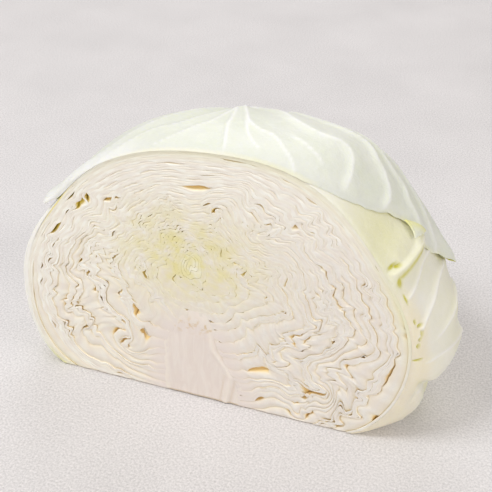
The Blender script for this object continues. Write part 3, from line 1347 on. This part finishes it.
def addFlap(s):
    # a small torn corner of the top leaf, folded back over its margin
    along = np.linspace(0, 1, s["columns"] + 1)
    start, end, tip = [np.array(s[name], float) for name in ("start", "end", "tip")]
    upper, lower, green = [], [], []
    for v in np.linspace(0, 1, s["rows"] + 1):
        base = start + (end - start) * along[:, None]
        place = base + (tip - base) * (0.97 * v)
        turn, dive = place.T
        lift = s["lift"] * np.sin(math.pi * (0.15 + 0.6 * v)) + 0.5 * np.sin(math.pi * along) * (1 - v)
        stand = topStand(turn, dive) + 0.6 + lift
        upper.append(headPoint(turn, dive, 1.0, stand + s["thickness"]))
        lower.append(headPoint(turn, dive, 1.0, stand))
        green.append(skinMasks(0 * along, 0.6 * bell(v, 0.5) + 0.2 * np.abs(2 * along - 1) ** 6))
    points, triangles = rowsBody(lower[::-1] + upper, loop=True)
    masks = np.vstack(green[::-1] + green)
    nodes = ["outer_leaf_top"]
    makePiece("wrapper_leaf_flap", points, triangles, masks, paleSkin, nodes)
    print("flap", len(triangles))


def addSideLeaf(name, s, standAt, node, tinge):
    grid = np.linspace(s["from"], s["to"], 1000)
    dense = np.cumsum(1 + 1.6 * ((grid > s["fine"][0]) & (grid < s["fine"][1])))
    turn = np.interp(np.linspace(dense[0], dense[-1], s["columns"] + 1), dense, grid)
    rows, masks, inner, innerMask = [], [], [], []
    for i in range(s["rows"] + 1):
        dive = np.full(len(turn), s["dive"] * (i / s["rows"]) ** s["crowding"])
        margin = np.minimum(turn - s["from"], s["to"] - turn)
        base = headPoint(turn, dive, 1.0, 2.0)
        crest, vein = veinRelief(base, s["veins"])
        clear = fall(dive, s["dive"] - 12, s["dive"]) * ease(margin, 0, s["fade"])
        thin = s["thickness"] * (0.2 + 0.8 * clear)
        for thickTurn, spread, more, reach in s["thicker"]:
            thin = thin + lobe(turn, more, thickTurn, spread) * fall(dive, 2, reach)
        stand = standAt(turn, dive)
        thin = thin * (0.35 + 0.65 * rounded(dive, 1.2))
        hollow = 0 * turn
        for pitTurn, pitDive, wide, long, deep in s["pits"]:
            pit = bell((turnGap(turn, pitTurn) / wide) ** 2 + ((dive - pitDive) / long) ** 2, 1.0)
            stand = np.maximum(stand - deep * pit, 0.05)
            hollow = np.maximum(hollow, pit)
        rows.append(headPoint(turn, dive, 1.0, stand + thin + crest * clear))
        inner.append(headPoint(turn, dive, 1.0, stand + 0.5 * crest * clear))
        green = np.maximum(tinge["green"](turn, dive), 0)
        deep = np.maximum(hollow, tinge["deep"](turn, dive))
        cream, white = tinge["cream"](turn, dive), tinge["white"](turn, dive)
        masks.append(skinMasks(np.maximum(vein * (1 - hollow), white), green, deep, cream))
        innerMask.append(skinMasks(white, np.maximum(green, 0.4), 0, cream))
    points, triangles = rowsBody(inner[::-1] + rows, loop=True)
    masks = np.vstack(innerMask[::-1] + masks)
    makePiece(name, points, triangles, masks, greenSkin, [node])
    print(name, len(triangles))


paleSkin = leafSkin("paleLeafSkin", {
    "lamina": (224, 230, 211), "laminaPale": (246, 247, 241), "shade": (238, 234, 120),
    "vein": (252, 253, 250), "deep": (222, 214, 70), "cream": (249, 247, 226), "glow": (240, 238, 120),
    "thinness": 0.1,
})
greenSkin = leafSkin("greenLeafSkin", {
    "lamina": (241, 240, 214), "laminaPale": (255, 253, 249), "shade": (234, 232, 176),
    "vein": (255, 253, 246), "deep": (212, 206, 78), "cream": (252, 242, 214), "glow": (240, 240, 120),
    "thinness": 0.06,
})
addTopLeaf(topLeaf)
addFlap({
    "start": (33.4, 12.6), "end": (27.0, 17.0), "tip": (28.8, 10.4),
    "columns": 24, "rows": 20, "thickness": 0.6, "lift": 1.6,
})


# yellow-green in the right leaf's pocket, low down and along its upper rim: amount, turn, span
rightGreen = {
    "pocket": (0.68, 36, 13, 6, 10),  # and dive, reach
    "low": (0.8, -30, 18),
    "middle": (0.25, 6, 7, 16, 9),
    "rim": (0.4, 10, 16),
}


def rightTinge(turn, dive):
    s = rightGreen
    low = lobe(turn, *s["low"]) * ease(dive, 6, 18) + patch(turn, dive, *s["middle"])
    rim = lobe(turn, *s["rim"]) * fall(dive, 0.5, 4)
    return patch(turn, dive, *s["pocket"]) + low + rim


def foldFoot(turn, dive):
    foot = nearTurn(turn, 23.3 + 0.12 * dive, 0.9)
    crease = bell(creaseGap(turn, dive), 1.2) * ease(dive, 0.2, 2) * fall(dive, 8, 18)
    return 0.8 * foot * ease(dive, 1.5, 3) * fall(dive, 11, 14) + 0.22 * crease


def rightCream(turn, dive):
    # the cut edge, and the broad smooth lip low on the right
    lip = nearTurn(turn, -34, 22) * fall(dive, 3, 12)
    return np.maximum(0.9 * fall(dive, 1, 6) * fall(turn, 10, 26), lip)


addSideLeaf("wrapper_leaf_right", rightLeaf, rightStand, "outer_leaf_right", {
    "green": rightTinge, "deep": foldFoot, "cream": rightCream, "white": lambda turn, dive: 0 * turn,
})
addSideLeaf("wrapper_leaf_left", leftLeaf, leftStand, "outer_leaf_left", {
    "green": lambda turn, dive: np.minimum(patch(turn, dive, 1.6, 215, 11, 2, 7), 1),
    "deep": lambda turn, dive: patch(turn, dive, 0.5, 218, 6, 1, 4),
    "cream": lambda turn, dive: 0 * turn,
    "white": lambda turn, dive: 0.9 * fall(dive, 0.6, 4) * (1 - lobe(turn, 0.8, 216, 9)),
})
